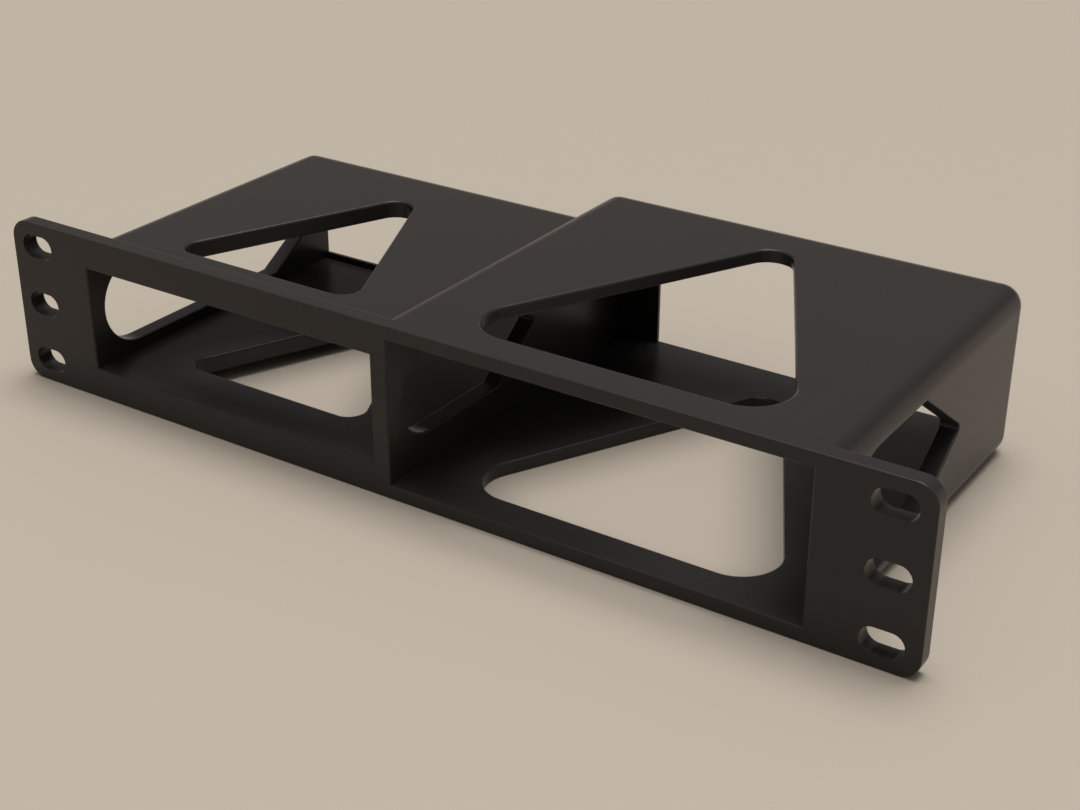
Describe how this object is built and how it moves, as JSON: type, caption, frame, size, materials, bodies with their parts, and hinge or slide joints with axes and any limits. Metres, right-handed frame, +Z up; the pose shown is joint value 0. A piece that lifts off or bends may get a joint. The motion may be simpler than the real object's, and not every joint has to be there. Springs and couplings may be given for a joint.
{
  "type": "rack mount panel",
  "caption": "One-unit panel for a narrow rack, with slotted ears and two open bays that hold small boxed devices.",
  "frame": {"origin": "centre of the panel's front face, which is the centre of the slot pattern", "axes": "+X along the panel to the taller bay, +Y back from the front face into the rack, +Z up"},
  "size_m": [0.254, 0.1053, 0.0444],
  "materials": {
    "panel_plastic": "matt charcoal plastic with a very fine grain"
  },
  "bodies": {
    "root": {"rack_panel": "panel_plastic"}
  },
  "joints": []
}
